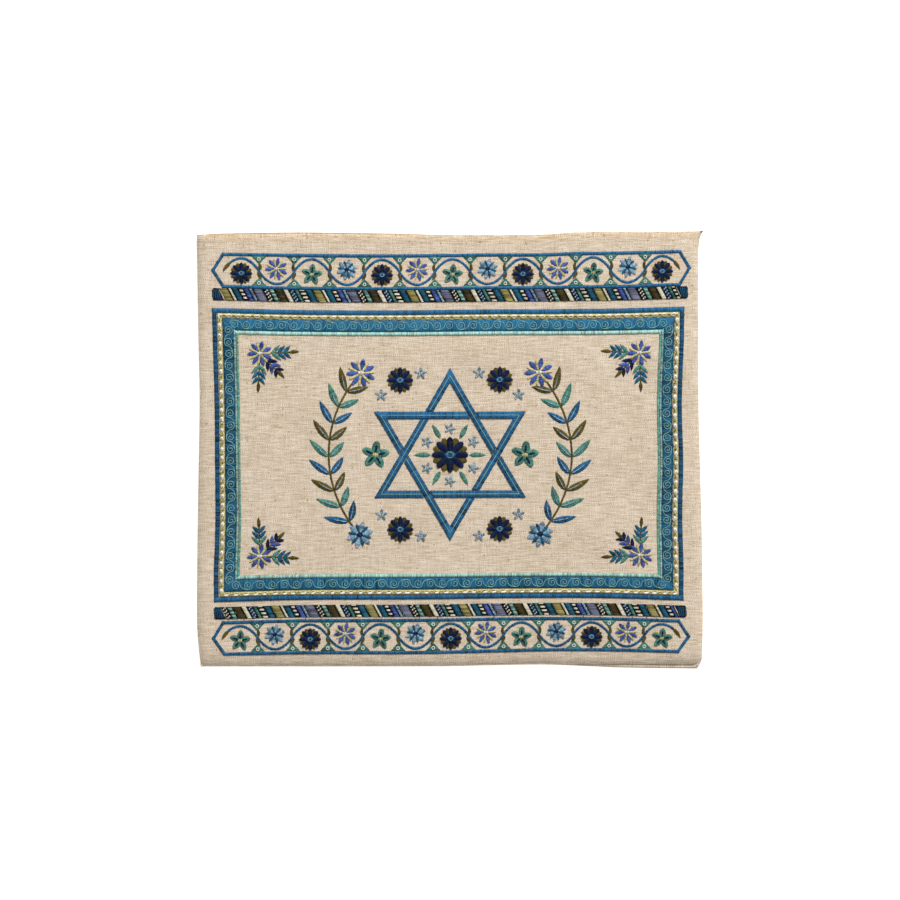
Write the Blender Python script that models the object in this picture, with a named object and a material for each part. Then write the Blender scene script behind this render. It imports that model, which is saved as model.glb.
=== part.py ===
"""A linen bag for tefillin, lying flat on its back with its mouth along the top edge.

Two linen panels meet along a seam round the sides and the foot. The raised borders that are stitched on the front
panel are thin solids of their own, one for each thread colour, lying on the cloth.
Metres, +Z up. The origin is under the middle of the bag, on the surface that it lies on. +Y runs to the mouth, and +X
to the right as the front is read.
"""

import math
from collections import namedtuple

import bmesh
import bpy

MM = 0.001

# The bag as it lies, seen as a plain rectangle before the tables below pull its edges about
WIDTH = 253 * MM
HEIGHT = 218 * MM
WALL = 1.5 * MM  # one panel, with its backing
SEAM_HEIGHT = 2.7 * MM  # the underside of the front panel's turned-down edge
SEAM_GAP = 0.3 * MM
FRONT_RISE = 3.3 * MM  # from the seam to the flat of the front panel
CROWN = 0.6 * MM  # how much higher the middle of the front lies
MOUTH_GAPE = 0.8 * MM
SIDE_ROLL = 5 * MM  # how wide the rounded edge is, seen from above
MOUTH_ROLL = 4 * MM
FOOT_ROLL = 7 * MM

# How the cloth is pulled out of square: each edge's wander dies away into the bag, and the stitching draws the long
# lines in towards the middle
EDGE_REACH = 8
MIDDLE_PULL = 2.2 * MM
MIDDLE_REACH = 6

# Grid lines of the panels
ROLL_STEPS = 4
FRONT_COLUMNS, FRONT_ROWS = 26, 22
BACK_COLUMNS, BACK_ROWS = 12, 10

# Stitching
THREAD_GAP = 0.3 * MM  # between the cloth and the stitching, and between one border and the next
SIDE_SHARE = 0.55  # height of a border's shoulder, as a share of its height

SHARP_DEGREES = 50
LINEN_ROUGHNESS = 0.9
THREAD_ROUGHNESS = 0.55
LINEN = (0.67, 0.56, 0.43)
BLUE = (0.013, 0.105, 0.235)
GOLD = (0.60, 0.55, 0.27)
TEAL = (0.13, 0.38, 0.33)
NAVY = (0.012, 0.03, 0.09)

EdgePoint = namedtuple("EdgePoint", "along edge")
Swell = namedtuple("Swell", "x y reach_x reach_y rise")
GridLine = namedtuple("GridLine", "outer inner lift")
Border = namedtuple("Border", "name start width height dip step colour")
Band = namedtuple("Band", "side middle left right")

# The outline of the front panel, in mm from the middle of the bag: how far along the side, and where the edge lies
LEFT_EDGE = (
    EdgePoint(along=-109.0, edge=-124.9),
    EdgePoint(along=-100.0, edge=-125.9),
    EdgePoint(along=-86.0, edge=-126.8),
    EdgePoint(along=-40.0, edge=-126.5),
    EdgePoint(along=-10.0, edge=-126.0),
    EdgePoint(along=25.0, edge=-125.5),
    EdgePoint(along=55.0, edge=-126.1),
    EdgePoint(along=109.0, edge=-127.0),
)
RIGHT_EDGE = (
    EdgePoint(along=-109.0, edge=123.8),
    EdgePoint(along=-104.3, edge=126.3),
    EdgePoint(along=-55.0, edge=126.5),
    EdgePoint(along=-15.0, edge=125.6),
    EdgePoint(along=20.0, edge=124.7),
    EdgePoint(along=90.0, edge=124.5),
    EdgePoint(along=104.0, edge=124.9),
    EdgePoint(along=109.0, edge=126.6),
)
MOUTH_EDGE = (
    EdgePoint(along=-126.5, edge=107.9),
    EdgePoint(along=-110.0, edge=108.1),
    EdgePoint(along=-75.0, edge=108.5),
    EdgePoint(along=-35.0, edge=108.1),
    EdgePoint(along=15.0, edge=107.8),
    EdgePoint(along=46.0, edge=108.0),
    EdgePoint(along=65.0, edge=109.2),
    EdgePoint(along=106.0, edge=109.3),
    EdgePoint(along=126.5, edge=109.8),
)
FOOT_EDGE = (
    EdgePoint(along=-126.5, edge=-108.5),
    EdgePoint(along=-5.0, edge=-108.4),
    EdgePoint(along=20.0, edge=-107.9),
    EdgePoint(along=45.0, edge=-107.4),
    EdgePoint(along=126.5, edge=-107.6),
)

# How far the back panel shows past the front one, in mm, where the bag has rolled over a little
BACK_PAST_MOUTH = (
    EdgePoint(along=-126.5, edge=0.0),
    EdgePoint(along=-112.0, edge=0.5),
    EdgePoint(along=-30.0, edge=0.5),
    EdgePoint(along=0.0, edge=0.0),
    EdgePoint(along=126.5, edge=0.0),
)
BACK_PAST_FOOT = (
    EdgePoint(along=-126.5, edge=0.0),
    EdgePoint(along=45.0, edge=0.1),
    EdgePoint(along=70.0, edge=0.9),
    EdgePoint(along=85.0, edge=1.5),
    EdgePoint(along=126.5, edge=1.9),
)

# Soft swells and hollows of the front, in mm
SWELLS = (
    Swell(x=-104.0, y=92.0, reach_x=26.0, reach_y=16.0, rise=0.45),
    Swell(x=112.0, y=25.0, reach_x=11.0, reach_y=60.0, rise=0.35),
    Swell(x=-117.0, y=33.0, reach_x=9.0, reach_y=14.0, rise=-0.35),
    Swell(x=-117.0, y=3.0, reach_x=9.0, reach_y=12.0, rise=-0.30),
    Swell(x=-100.0, y=-100.0, reach_x=11.0, reach_y=9.0, rise=-0.35),
    Swell(x=-52.0, y=-100.0, reach_x=12.0, reach_y=9.0, rise=-0.40),
    Swell(x=-2.0, y=-101.0, reach_x=11.0, reach_y=9.0, rise=-0.30),
    Swell(x=22.0, y=-100.0, reach_x=9.0, reach_y=9.0, rise=-0.25),
    Swell(x=92.0, y=-100.0, reach_x=14.0, reach_y=9.0, rise=-0.45),
    Swell(x=0.0, y=-2.0, reach_x=75.0, reach_y=38.0, rise=-0.30),
)

# The frame round the field of the front panel: its corners, in mm, and its borders from the outside in. The cord's
# height rises and falls with its twist.
FRAME_CORNERS = ((-119.4, 71.0), (118.4, 71.0), (116.7, -76.2), (-117.9, -76.2))
FRAME_BORDERS = (
    Border("frame_outer_line", start=0.0, width=2.4, height=0.8, dip=0.0, step=10.0, colour=BLUE),
    Border("frame_twisted_cord", start=2.7, width=2.2, height=1.2, dip=0.4, step=2.35, colour=GOLD),
    Border("frame_scroll_band", start=5.2, width=5.6, height=0.8, dip=0.0, step=10.0, colour=BLUE),
    Border("frame_inner_line", start=11.1, width=2.0, height=0.8, dip=0.0, step=10.0, colour=TEAL),
)

# The lines round the two flower bands, over and under the frame, in mm: the band's middle, and its two pointed ends
BAND_LINE = Border("flower_band_line", start=0.0, width=1.5, height=0.7, dip=0.0, step=10.0, colour=BLUE)
BAND_HALF_HEIGHT = 8.9
BAND_POINT = 5.7
FLOWER_BANDS = (
    Band("upper", middle=90.1, left=-113.7, right=116.1),
    Band("lower", middle=-94.3, left=-113.6, right=114.4),
)

# The strips of slanting bars between the frame and the flower bands, in mm
STRIP_HALF_HEIGHT = 2.8
STRIP_RAISE = 0.6
STRIP_STEP = 10.0
BAR_STRIPS = (
    Band("upper", middle=78.0, left=-119.5, right=120.6),
    Band("lower", middle=-81.8, left=-118.3, right=118.5),
)


def clear_scene():
    for thing in list(bpy.data.objects):
        bpy.data.objects.remove(thing)


def finish(name, shape, colour, roughness):
    """Makes the shape an object of that name, with a material of its own."""
    bmesh.ops.recalc_face_normals(shape, faces=shape.faces)
    if shape.calc_volume(signed=True) < 0:
        bmesh.ops.reverse_faces(shape, faces=shape.faces)
    mesh = bpy.data.meshes.new(name)
    shape.to_mesh(mesh)
    shape.free()
    material = bpy.data.materials.new(name)
    material.use_nodes = True
    surface = material.node_tree.nodes["Principled BSDF"]
    surface.inputs["Base Color"].default_value = (*colour, 1)
    surface.inputs["Roughness"].default_value = roughness
    surface.inputs["Metallic"].default_value = 0
    mesh.materials.append(material)
    thing = bpy.data.objects.new(name, mesh)
    bpy.context.scene.collection.objects.link(thing)
    mesh.shade_smooth()
    mesh.set_sharp_from_angle(angle=math.radians(SHARP_DEGREES))


def read_along(table, along):
    """The edge at a place along a side, in metres, on a smooth curve through the table's rows."""
    at = min(max(along / MM, table[0].along), table[-1].along)
    last = len(table) - 2
    row = next(i for i in range(last + 1) if i == last or at <= table[i + 1].along)
    before, here, there, after = (table[min(max(row + k, 0), last + 1)] for k in (-1, 0, 1, 2))
    span = there.along - here.along
    t = (at - here.along) / span
    leaving = (there.edge - before.edge) / (there.along - before.along) * span
    arriving = (after.edge - here.edge) / (after.along - here.along) * span
    curve = (
        here.edge * (2 * t**3 - 3 * t**2 + 1)
        + leaving * (t**3 - 2 * t**2 + t)
        + there.edge * (3 * t**2 - 2 * t**3)
        + arriving * (t**3 - t**2)
    )
    return curve * MM


def laid(s, t, back=False):
    """Where a point of the plain rectangle comes to lie, seen from above."""
    u, v = 2 * s / WIDTH, 2 * t / HEIGHT
    left = read_along(LEFT_EDGE, t) + WIDTH / 2
    right = read_along(RIGHT_EDGE, t) - WIDTH / 2
    mouth = read_along(MOUTH_EDGE, s) - HEIGHT / 2
    foot = read_along(FOOT_EDGE, s) + HEIGHT / 2
    if back:
        mouth += read_along(BACK_PAST_MOUTH, s)
        foot -= read_along(BACK_PAST_FOOT, s)
    x = s + left * ((1 - u) / 2) ** EDGE_REACH + right * ((1 + u) / 2) ** EDGE_REACH
    y = t + foot * ((1 - v) / 2) ** EDGE_REACH + mouth * ((1 + v) / 2) ** EDGE_REACH
    return x, y - MIDDLE_PULL * v * (1 - v**MIDDLE_REACH) * (1 - u * u)


def swell(s, t):
    """How much higher or lower than its seamward part the front lies at a point."""
    u, v = 2 * s / WIDTH, 2 * t / HEIGHT
    rise = CROWN * (1 - u * u) * (1 - v * v)
    for row in SWELLS:
        across = (s / MM - row.x) / row.reach_x
        along = (t / MM - row.y) / row.reach_y
        rise += row.rise * MM * math.exp(-across * across - along * along)
    return rise


def gape(s, t, lift):
    """How far the front panel's lip stands off at the mouth."""
    return MOUTH_GAPE * (1 - (2 * s / WIDTH) ** 4) * (1 - lift) if t > 0 else 0


def roll_lift(inset, roll):
    """How far up its rounded edge a point lies, from 0 at the seam to 1 on the flat."""
    return 1 if inset >= roll else math.sqrt(max(0, 1 - (1 - inset / roll) ** 2))


def front_height(s, t):
    """The height of the front panel's outer face."""
    across = roll_lift(WIDTH / 2 - abs(s), SIDE_ROLL)
    along = roll_lift(HEIGHT / 2 - abs(t), MOUTH_ROLL if t > 0 else FOOT_ROLL)
    return SEAM_HEIGHT + (FRONT_RISE + swell(s, t)) * across * along + gape(s, t, along)


def grid_lines(half, low_roll, high_roll, cells):
    """The lines across a panel from one edge to the other: close together over the rounded edges, even between."""
    angles = [step / ROLL_STEPS * math.pi / 2 for step in range(ROLL_STEPS + 1)]

    def edge(roll, side):
        return [
            GridLine(
                side * (half - roll * (1 - math.cos(a))),
                side * (half - roll + (roll - WALL) * math.cos(a)),
                math.sin(a),
            )
            for a in angles
        ]

    low, high = edge(low_roll, -1), edge(high_roll, 1)[::-1]
    start, end = low[-1].outer, high[0].outer
    flat = [start + (end - start) * i / cells for i in range(1, cells)]
    return low + [GridLine(place, place, 1) for place in flat] + high


def front_point(column, row, inner):
    s, t = (column.inner, row.inner) if inner else (column.outer, row.outer)
    rise = FRONT_RISE + swell(s, t) - (WALL if inner else 0)
    height = SEAM_HEIGHT + rise * column.lift * row.lift + gape(s, t, row.lift)
    return (*laid(s, t), height)


def back_point(column, row, inner):
    s, t = (column.inner, row.inner) if inner else (column.outer, row.outer)
    seam = SEAM_HEIGHT - SEAM_GAP
    return (*laid(s, t, back=True), seam - (seam - (WALL if inner else 0)) * column.lift * row.lift)


def two_faced(across, along, point):
    """A sheet of so many cells each way: its outer and its inner face, joined round their edge."""
    shape = bmesh.new()
    faces = [
        bmesh.ops.create_grid(shape, x_segments=across, y_segments=along, size=1)["verts"] for _ in range(2)
    ]
    twin = dict(zip(*faces))
    for edge in [e for e in shape.edges if e.is_boundary and e.verts[0] in twin]:
        here, there = edge.verts
        shape.faces.new((here, there, twin[there], twin[here]))
    for inner, verts in enumerate(faces):
        for vert in verts:
            column, row = round((vert.co.x + 1) / 2 * across), round((vert.co.y + 1) / 2 * along)
            vert.co = point(column, row, inner)
    return shape


def panel(name, point, columns, rows):
    """A sheet of cloth on that grid."""
    shape = two_faced(
        len(columns) - 1, len(rows) - 1, lambda column, row, inner: point(columns[column], rows[row], inner)
    )
    finish(name, shape, LINEN, LINEN_ROUGHNESS)


def on_front(s, t, above):
    """A point that far above the front panel's outer face."""
    return (*laid(s, t), front_height(s, t) + above)


def inset(corners, distance):
    """The corners, given clockwise, of the same outline that distance further in."""
    moved = []
    for i, (x, y) in enumerate(corners):
        before, after = corners[i - 1], corners[(i + 1) % len(corners)]
        into = math.atan2(y - before[1], x - before[0])
        out = math.atan2(after[1] - y, after[0] - x)
        middle = into + math.remainder(out - into, 2 * math.pi) / 2 - math.pi / 2
        reach = distance / math.cos(math.remainder(out - into, 2 * math.pi) / 2)
        moved.append((x + reach * math.cos(middle), y + reach * math.sin(middle)))
    return moved


def border_ring(border, corners, name):
    """A closed border of stitching: a low ridge with sloping shoulders, lying on the front panel."""
    outer, inner = inset(corners, border.start), inset(corners, border.start + border.width)
    shape = bmesh.new()
    sections = []
    for i, corner in enumerate(corners):
        j = (i + 1) % len(corners)
        pairs = max(1, round(math.dist(corner, corners[j]) / border.step / 2))
        for step in range(2 * pairs):
            share = step / pairs / 2
            edge = [a + (b - a) * share for a, b in zip(outer[i], outer[j])]
            core = [a + (b - a) * share for a, b in zip(inner[i], inner[j])]
            height = border.height - (border.dip if step % 2 else 0)
            sections.append(ridge_section(shape, edge, core, height * MM))
    for here, there in zip(sections, sections[1:] + sections[:1]):
        for k, point in enumerate(here):
            n = (k + 1) % len(here)
            shape.faces.new((point, here[n], there[n], there[k]))
    finish(name, shape, border.colour, THREAD_ROUGHNESS)


def ridge_section(shape, edge, core, height):
    """One cross-section of a border, from its outer edge to its inner one."""
    crest = [(a + b) / 2 for a, b in zip(edge, core)]
    outline = (
        (edge, THREAD_GAP),
        (edge, THREAD_GAP + height * SIDE_SHARE),
        (crest, THREAD_GAP + height),
        (core, THREAD_GAP + height * SIDE_SHARE),
        (core, THREAD_GAP),
    )
    return [shape.verts.new(on_front(p[0] * MM, p[1] * MM, above)) for p, above in outline]


def flower_band_line(band):
    """The pointed outline round a band of flowers."""
    top, foot = band.middle + BAND_HALF_HEIGHT, band.middle - BAND_HALF_HEIGHT
    corners = (
        (band.left, top),
        (band.right, top),
        (band.right + BAND_POINT, band.middle),
        (band.right, foot),
        (band.left, foot),
        (band.left - BAND_POINT, band.middle),
    )
    border_ring(BAND_LINE, corners, f"{band.side}_{BAND_LINE.name}")


def bar_strip(band):
    """A flat strip of close slanting stitches between the frame and a flower band."""
    cells = round((band.right - band.left) / STRIP_STEP)

    def point(column, row, inner):
        s = band.left + (band.right - band.left) * column / cells
        t = band.middle + STRIP_HALF_HEIGHT * (2 * row - 1)
        return on_front(s * MM, t * MM, THREAD_GAP + (0 if inner else STRIP_RAISE * MM))

    finish(f"{band.side}_bar_strip", two_faced(cells, 1, point), NAVY, THREAD_ROUGHNESS)


clear_scene()
panel(
    "front_panel",
    front_point,
    grid_lines(WIDTH / 2, SIDE_ROLL, SIDE_ROLL, FRONT_COLUMNS),
    grid_lines(HEIGHT / 2, FOOT_ROLL, MOUTH_ROLL, FRONT_ROWS),
)
panel(
    "back_panel",
    back_point,
    grid_lines(WIDTH / 2, SIDE_ROLL, SIDE_ROLL, BACK_COLUMNS),
    grid_lines(HEIGHT / 2, FOOT_ROLL, MOUTH_ROLL, BACK_ROWS),
)
for row in FRAME_BORDERS:
    border_ring(row, FRAME_CORNERS, row.name)
for row in FLOWER_BANDS:
    flower_band_line(row)
for row in BAR_STRIPS:
    bar_strip(row)
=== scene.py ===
import math
from math import pi

import bpy
import numpy as np
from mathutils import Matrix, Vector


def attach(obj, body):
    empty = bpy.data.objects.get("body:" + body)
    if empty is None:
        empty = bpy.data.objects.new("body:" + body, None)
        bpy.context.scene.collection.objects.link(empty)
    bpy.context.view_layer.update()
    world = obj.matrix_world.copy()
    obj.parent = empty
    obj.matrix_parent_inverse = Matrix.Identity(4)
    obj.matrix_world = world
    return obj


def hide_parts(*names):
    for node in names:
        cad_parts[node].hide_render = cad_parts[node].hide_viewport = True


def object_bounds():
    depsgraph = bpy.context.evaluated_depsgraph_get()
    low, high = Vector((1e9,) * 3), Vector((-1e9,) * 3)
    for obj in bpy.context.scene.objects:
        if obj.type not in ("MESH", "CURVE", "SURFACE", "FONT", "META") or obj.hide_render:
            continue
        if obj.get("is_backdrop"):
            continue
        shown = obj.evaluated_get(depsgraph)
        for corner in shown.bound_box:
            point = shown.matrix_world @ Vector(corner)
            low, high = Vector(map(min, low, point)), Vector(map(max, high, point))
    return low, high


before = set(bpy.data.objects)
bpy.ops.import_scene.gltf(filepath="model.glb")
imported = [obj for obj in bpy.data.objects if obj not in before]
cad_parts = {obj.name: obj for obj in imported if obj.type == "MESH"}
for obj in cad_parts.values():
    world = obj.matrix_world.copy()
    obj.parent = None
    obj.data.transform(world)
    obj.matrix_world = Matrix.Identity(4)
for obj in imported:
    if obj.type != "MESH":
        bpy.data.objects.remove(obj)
cad_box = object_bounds()
bpy.ops.object.select_all(action="DESELECT")


# Camera: the photograph looks straight down on the bag from far off, with the mouth of the bag at
# the top. The lens is chosen so that the picture is 450 mm wide at the cloth.
PICTURE_WIDTH = 0.45  # metres across the picture, at the cloth
CAMERA_HEIGHT = 1.5
CLOTH_HEIGHT = 0.006
SENSOR_WIDTH = 36  # mm
bpy.ops.object.camera_add(location=(0, 0, CAMERA_HEIGHT + CLOTH_HEIGHT), rotation=(0, 0, 0))
camera = bpy.context.object
camera.data.sensor_width = SENSOR_WIDTH
camera.data.lens = SENSOR_WIDTH * CAMERA_HEIGHT / PICTURE_WIDTH
bpy.context.scene.camera = camera
bpy.context.scene.view_settings.view_transform = "Standard"


# Studio: a wide sheet of white paper under the bag, one large soft light beyond the mouth and a
# little to the right, a weak one at the foot, and an even fill from all round.
FILL_STRENGTH = 0.24
FLOOR_SIZE, FLOOR_DEPTH = 6, 0.0003  # metres across, and metres under the bag


def aimed_light(name, place, size, power):
    """A square softbox that faces the middle of the bag."""
    bpy.ops.object.light_add(type="AREA", location=place)
    light = bpy.context.object
    light.name = name
    light.data.size = size
    light.data.energy = power
    away = math.hypot(place[0], place[1])
    light.rotation_euler = (math.atan2(away, place[2]), 0, math.atan2(place[1], place[0]) + pi / 2)


aimed_light("key_light", (0.75, 2.1, 2.0), 0.7, 92)
aimed_light("fill_light", (-0.5, -0.9, 1.6), 1.4, 3.4)
world = bpy.data.worlds.new("studio")
bpy.context.scene.world = world
world.use_nodes = True
backdrop = world.node_tree.nodes["Background"]
backdrop.inputs["Color"].default_value = (1, 1, 1, 1)
backdrop.inputs["Strength"].default_value = FILL_STRENGTH

bpy.ops.mesh.primitive_plane_add(size=FLOOR_SIZE, location=(0, 0, -FLOOR_DEPTH))
floor = bpy.context.object
floor.name = "floor"
paper = bpy.data.materials.new("white_paper")
paper.use_nodes = True
paper_surface = paper.node_tree.nodes["Principled BSDF"]
paper_surface.inputs["Base Color"].default_value = (0.86, 0.86, 0.86, 1)
paper_surface.inputs["Roughness"].default_value = 0.9
paper_surface.inputs["Emission Color"].default_value = (1, 1, 1, 1)
paper_surface.inputs["Emission Strength"].default_value = 0.7
floor.data.materials.append(paper)
floor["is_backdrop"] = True


# Front panel: one piece of natural linen in a plain weave on a firm backing. It is turned in along
# the sides and the foot, where it is sewn to the back, and hemmed at the mouth. The dense stitching
# draws it into shallow hollows.
MM = 0.001
WIDTH, HEIGHT = 253, 218
WALL = 1.5
SEAM = 2.55  # height of the side seam
RISE = 3.45  # from the seam to the flat of the front
CROWN = 0.6
MOUTH_GAPE = 0.8
SIDE_ROLL, MOUTH_ROLL, FOOT_ROLL = 5, 4, 7
EDGE_REACH, MIDDLE_PULL, MIDDLE_REACH = 8, 2.2, 6
CREASE_FADE = 3  # mm past its ends over which a crease dies away
WAVE_LENGTHS, WAVE_RISE = np.linspace(13, 48, 16), 0.0013  # rise for each mm of a wave's length
BEND_LINES = 8  # grid lines round each rolled edge
FRONT_STEP = 1.6  # mm between the grid lines on the flat

# Where each edge of the bag lies: rows of a place along the side and the edge there, in mm
LEFT_EDGE = (
    (-109, -124.9), (-100, -125.9), (-86, -126.8), (-40, -126.5),
    (-10, -126.0), (25, -125.5), (55, -126.1), (109, -127.0),
)
RIGHT_EDGE = (
    (-109, 123.8), (-104.3, 126.3), (-55, 126.5), (-15, 125.6),
    (20, 124.7), (90, 124.5), (104, 124.9), (109, 126.6),
)
MOUTH_EDGE = (
    (-126.5, 107.9), (-110, 108.1), (-75, 108.5), (-35, 108.1), (15, 107.8),
    (46, 108.0), (65, 109.2), (106, 109.3), (126.5, 109.8),
)
FOOT_EDGE = ((-126.5, -108.5), (-5, -108.4), (20, -107.9), (45, -107.4), (126.5, -107.6))
BACK_PAST_MOUTH = ((-126.5, 0), (-112, 0.5), (-30, 0.5), (0, 0), (126.5, 0))
BACK_PAST_FOOT = ((-126.5, 0), (45, 0.1), (70, 0.9), (85, 1.5), (126.5, 1.9))

# Swells and hollows: x, y, reach across, reach along, rise, in mm
SWELLS = (
    (-104, 92, 26, 16, 0.45),
    (112, 25, 11, 60, 0.35),
    (-117, 33, 9, 14, -0.35),
    (-117, 3, 9, 12, -0.30),
    (-100, -100, 11, 9, -0.35),
    (-52, -100, 12, 9, -0.40),
    (-2, -101, 11, 9, -0.30),
    (22, -100, 9, 9, -0.25),
    (92, -100, 14, 9, -0.45),
    (0, -2, 75, 38, -0.30),
)

# Creases: from x, y to x, y, half width and rise, in mm
CREASES = (
    (106, -79, 99, -106, 2.4, -0.22),
    (112, -79, 113, -106, 2.6, 0.24),
    (96, -104, 52, -102.5, 2.2, -0.20),
    (-120, 60, -122, 15, 2.2, -0.16),
    (-60, -104, -110, -105.5, 2.0, -0.16),
    (-125, -88, -112, -105, 2.6, 0.18),
    (118, 104, 100, 100, 3.0, 0.16),
)


def through(rows, along):
    """The edge at a place along a side, on a smooth curve through the table's rows."""
    places, edges = np.transpose(rows)
    last = len(rows) - 1
    up, down = np.minimum(np.arange(last + 1) + 1, last), np.maximum(np.arange(last + 1) - 1, 0)
    slopes = (edges[up] - edges[down]) / (places[up] - places[down])
    at = np.clip(along, places[0], places[-1])
    i = np.clip(np.searchsorted(places, at) - 1, 0, last - 1)
    span = places[i + 1] - places[i]
    f = (at - places[i]) / span
    return (
        edges[i] * (2 * f**3 - 3 * f**2 + 1)
        + slopes[i] * span * (f**3 - 2 * f**2 + f)
        + edges[i + 1] * (3 * f**2 - 2 * f**3)
        + slopes[i + 1] * span * (f**3 - f**2)
    )


def lie(s, t, back=False):
    """Where points of the plain rectangle come to lie, seen from above."""
    u, v = 2 * s / WIDTH, 2 * t / HEIGHT
    left, right = through(LEFT_EDGE, t) + WIDTH / 2, through(RIGHT_EDGE, t) - WIDTH / 2
    mouth, foot = through(MOUTH_EDGE, s) - HEIGHT / 2, through(FOOT_EDGE, s) + HEIGHT / 2
    if back:
        mouth, foot = mouth + through(BACK_PAST_MOUTH, s), foot - through(BACK_PAST_FOOT, s)
    x = s + left * ((1 - u) / 2) ** EDGE_REACH + right * ((1 + u) / 2) ** EDGE_REACH
    y = t + foot * ((1 - v) / 2) ** EDGE_REACH + mouth * ((1 + v) / 2) ** EDGE_REACH
    return x, y - MIDDLE_PULL * v * (1 - v**MIDDLE_REACH) * (1 - u * u)


def edge_lift(inset, roll):
    """How far up its rounded edge the cloth is, from 0 at the seam to 1 on the flat."""
    return np.sqrt(1 - np.clip(1 - inset / roll, 0, 1) ** 2)


def crease_rise(s, t, row):
    """The rise of one crease, fading towards its ends."""
    x0, y0, x1, y1, half, rise = row
    length = math.hypot(x1 - x0, y1 - y0)
    ahead = ((s - x0) * (x1 - x0) + (t - y0) * (y1 - y0)) / length
    aside = ((t - y0) * (x1 - x0) - (s - x0) * (y1 - y0)) / length
    past = np.maximum(np.abs(ahead - length / 2) - length / 2, 0)
    return rise * np.exp(-((aside / half) ** 2) - (past / CREASE_FADE) ** 2)


def gentle_waves(s, t):
    """Wide uneven waves that linen keeps after pressing."""
    draw = np.random.default_rng(7)
    total = 0
    for length in WAVE_LENGTHS:
        turn, start = draw.uniform(0, pi), draw.uniform(0, 2 * pi)
        phase = (s * math.cos(turn) + t * math.sin(turn)) * 2 * pi / length + start
        total = total + WAVE_RISE * length * np.sin(phase)
    return total


def front_height(s, t):
    """The height of the front panel's outer face, in mm."""
    u, v = 2 * s / WIDTH, 2 * t / HEIGHT
    rise = RISE + CROWN * (1 - u * u) * (1 - v * v) + gentle_waves(s, t)
    for x, y, reach_x, reach_y, swell in SWELLS:
        rise = rise + swell * np.exp(-(((s - x) / reach_x) ** 2) - ((t - y) / reach_y) ** 2)
    for row in CREASES:
        rise = rise + crease_rise(s, t, row)
    along = edge_lift(HEIGHT / 2 - np.abs(t), np.where(t > 0, MOUTH_ROLL, FOOT_ROLL))
    gape = np.where(t > 0, MOUTH_GAPE * (1 - u**4) * (1 - along), 0)
    return SEAM + rise * edge_lift(WIDTH / 2 - np.abs(s), SIDE_ROLL) * along + gape


def cloth_lines(half, low_roll, high_roll, step):
    """Grid lines across a panel, closer together where the cloth rolls over."""
    bend = 1 - np.cos(np.linspace(0, pi / 2, BEND_LINES))
    low, high = -half + low_roll * bend, half - high_roll * bend[::-1]
    flat = np.linspace(low[-1], high[0], round((high[0] - low[-1]) / step) + 1)
    return np.concatenate([low, flat[1:-1], high])


def map_points(mesh, maps):
    """Gives every corner of the faces the place of its point in the mesh's UV map."""
    corners = np.empty(len(mesh.loops), dtype=np.int32)
    mesh.loops.foreach_get("vertex_index", corners)
    mesh.uv_layers[0].data.foreach_set("uv", maps[corners].ravel())


def cloth_panel(name, columns, rows, place):
    """Cloth laid by its place function, its weave mapped in metres, and given its thickness."""
    bpy.ops.mesh.primitive_grid_add(x_subdivisions=len(columns) - 1, y_subdivisions=len(rows) - 1, size=2)
    panel = bpy.context.object
    panel.name = panel.data.name = name
    mesh = panel.data
    flat = np.empty(len(mesh.vertices) * 3)
    mesh.vertices.foreach_get("co", flat)
    flat = flat.reshape(-1, 3)
    s = columns[np.rint((flat[:, 0] + 1) / 2 * (len(columns) - 1)).astype(int)]
    t = rows[np.rint((flat[:, 1] + 1) / 2 * (len(rows) - 1)).astype(int)]
    mesh.vertices.foreach_set("co", (np.stack(place(s, t), axis=1) * MM).ravel())
    map_points(mesh, np.c_[s, t] * MM)
    mesh.update()
    solidify = panel.modifiers.new("cloth_and_backing", "SOLIDIFY")
    solidify.thickness = WALL * MM
    solidify.offset = -1
    bpy.ops.object.modifier_apply(modifier=solidify.name)
    bpy.ops.object.shade_smooth()
    return panel


class Wire:
    """A value on its way between a material's nodes. Arithmetic on it adds Math nodes."""

    def __init__(self, socket):
        self.socket = socket

    def node(self, kind, settings, values, output=0):
        """Adds a node, sets it up, feeds its sockets, and gives the wire that leaves it."""
        tree = self.socket.id_data
        made = tree.nodes.new(kind)
        for name, value in settings.items():
            setattr(made, name, value)
        for name, value in values.items():
            if isinstance(value, Wire):
                tree.links.new(value.socket, made.inputs[name])
            else:
                made.inputs[name].default_value = value
        return Wire(made.outputs[output])

    def calculate(self, operation, first, second=0.0):
        return self.node("ShaderNodeMath", {"operation": operation}, {0: first, 1: second})

    def __add__(self, other):
        return self.calculate("ADD", self, other)

    def __sub__(self, other):
        return self.calculate("SUBTRACT", self, other)

    def __rsub__(self, other):
        return self.calculate("SUBTRACT", other, self)

    def __mul__(self, other):
        return self.calculate("MULTIPLY", self, other)

    def __truediv__(self, other):
        return self.calculate("DIVIDE", self, other)

    def __pow__(self, other):
        return self.calculate("POWER", self, other)

    __radd__ = __add__
    __rmul__ = __mul__


def new_finish(name, roughness):
    """A material, its shader, and the two wires of its UV map."""
    material = bpy.data.materials.new(name)
    material.use_nodes = True
    shader = material.node_tree.nodes["Principled BSDF"]
    shader.inputs["Roughness"].default_value = roughness
    uv = Wire(material.node_tree.nodes.new("ShaderNodeUVMap").outputs[0])
    u = uv.node("ShaderNodeSeparateXYZ", {}, {0: uv})
    v = Wire(u.socket.node.outputs[1])
    return material, shader, u, v


def feed(shader, name, wire):
    wire.socket.id_data.links.new(wire.socket, shader.inputs[name])


def noise(x, y, detail=2.0):
    """Smooth noise from 0 to 1, one cell of it to each unit of x and y."""
    spot = x.node("ShaderNodeCombineXYZ", {}, {0: x, 1: y})
    values = {"Vector": spot, "Scale": 1.0, "Detail": detail}
    return x.node("ShaderNodeTexNoise", {"noise_dimensions": "2D"}, values)


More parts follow.
